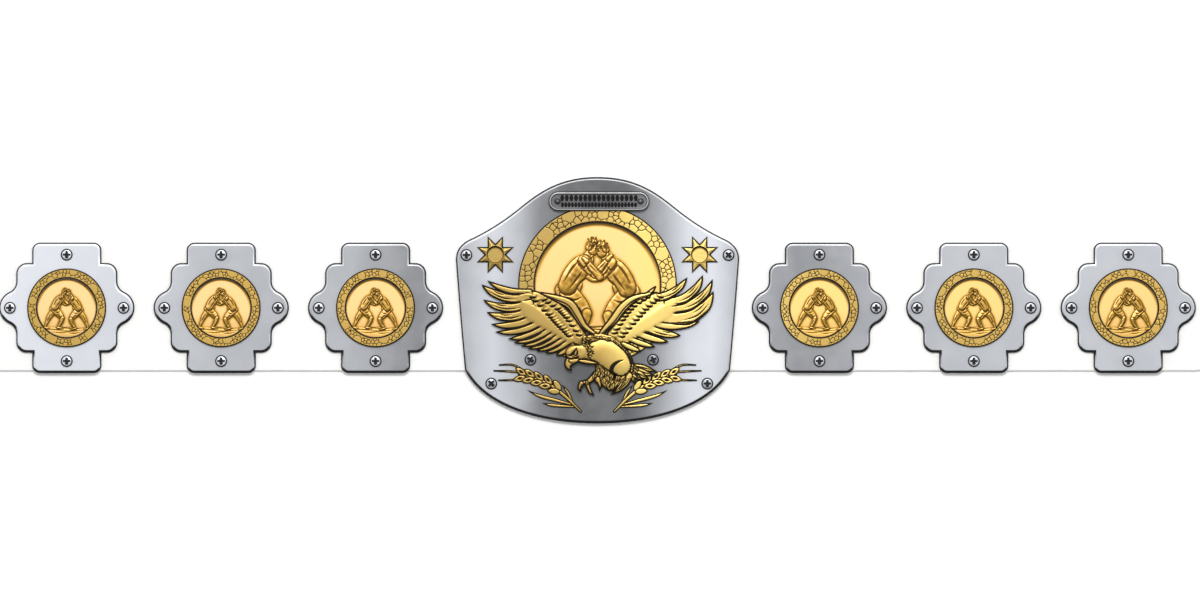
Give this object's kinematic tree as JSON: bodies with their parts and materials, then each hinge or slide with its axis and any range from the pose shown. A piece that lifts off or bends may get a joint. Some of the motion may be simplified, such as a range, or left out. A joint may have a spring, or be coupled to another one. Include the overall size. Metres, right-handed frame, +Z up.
{
  "type": "championship title belt",
  "caption": "Leather waist belt with a large domed metal centre plate, smaller matching side plates, gold relief ornaments and cross-head screws.",
  "frame": {"origin": "centre of the belt's outline, on the surface that it lies on", "axes": "+X along the belt, to the right as the plates are read; +Y up the plates; +Z up from the surface, out of the plates' faces"},
  "size_m": [1.2664, 0.2118, 0.0131],
  "materials": {
    "white_leather": "smooth fine-grained white leather with a cut edge",
    "plate_silver": "polished silver plating in soft light and dark bands, with a bright bevelled edge",
    "dark_silver": "dark satin silver",
    "gold_casting": "gold-plated casting, polished ridges over darkened recesses",
    "gold_disc": "satin pale gold with low relief",
    "screw_steel": "bright domed head with a dark cross recess",
    "snap_metal": "plain bright snap fasteners"
  },
  "bodies": {
    "root": {"strap": "white_leather", "main_plate": "plate_silver", "main_ring": "gold_casting", "main_medallion": "gold_disc", "nameplate": "dark_silver", "star_left": "gold_casting", "star_right": "gold_casting", "eagle": "gold_casting", "wheat_left": "gold_casting", "wheat_right": "gold_casting", "main_screw_1": "screw_steel", "main_screw_2": "screw_steel", "main_screw_3": "screw_steel", "main_screw_4": "screw_steel", "main_screw_5": "screw_steel", "main_screw_6": "screw_steel", "side_plate_1": "plate_silver", "side_ring_1": "gold_casting", "side_medallion_1": "gold_disc", "side_screw_1_1": "screw_steel", "side_screw_1_2": "screw_steel", "side_screw_1_3": "screw_steel", "side_screw_1_4": "screw_steel", "side_plate_2": "plate_silver", "side_ring_2": "gold_casting", "side_medallion_2": "gold_disc", "side_screw_2_1": "screw_steel", "side_screw_2_2": "screw_steel", "side_screw_2_3": "screw_steel", "side_screw_2_4": "screw_steel", "side_plate_3": "plate_silver", "side_ring_3": "gold_casting", "side_medallion_3": "gold_disc", "side_screw_3_1": "screw_steel", "side_screw_3_2": "screw_steel", "side_screw_3_3": "screw_steel", "side_screw_3_4": "screw_steel", "side_plate_4": "plate_silver", "side_ring_4": "gold_casting", "side_medallion_4": "gold_disc", "side_screw_4_1": "screw_steel", "side_screw_4_2": "screw_steel", "side_screw_4_3": "screw_steel", "side_screw_4_4": "screw_steel", "side_plate_5": "plate_silver", "side_ring_5": "gold_casting", "side_medallion_5": "gold_disc", "side_screw_5_1": "screw_steel", "side_screw_5_2": "screw_steel", "side_screw_5_3": "screw_steel", "side_screw_5_4": "screw_steel", "side_plate_6": "plate_silver", "side_ring_6": "gold_casting", "side_medallion_6": "gold_disc", "side_screw_6_1": "screw_steel", "side_screw_6_2": "screw_steel", "side_screw_6_3": "screw_steel", "side_screw_6_4": "screw_steel", "snap_studs": "snap_metal", "snap_sockets": "snap_metal"}
  },
  "joints": []
}
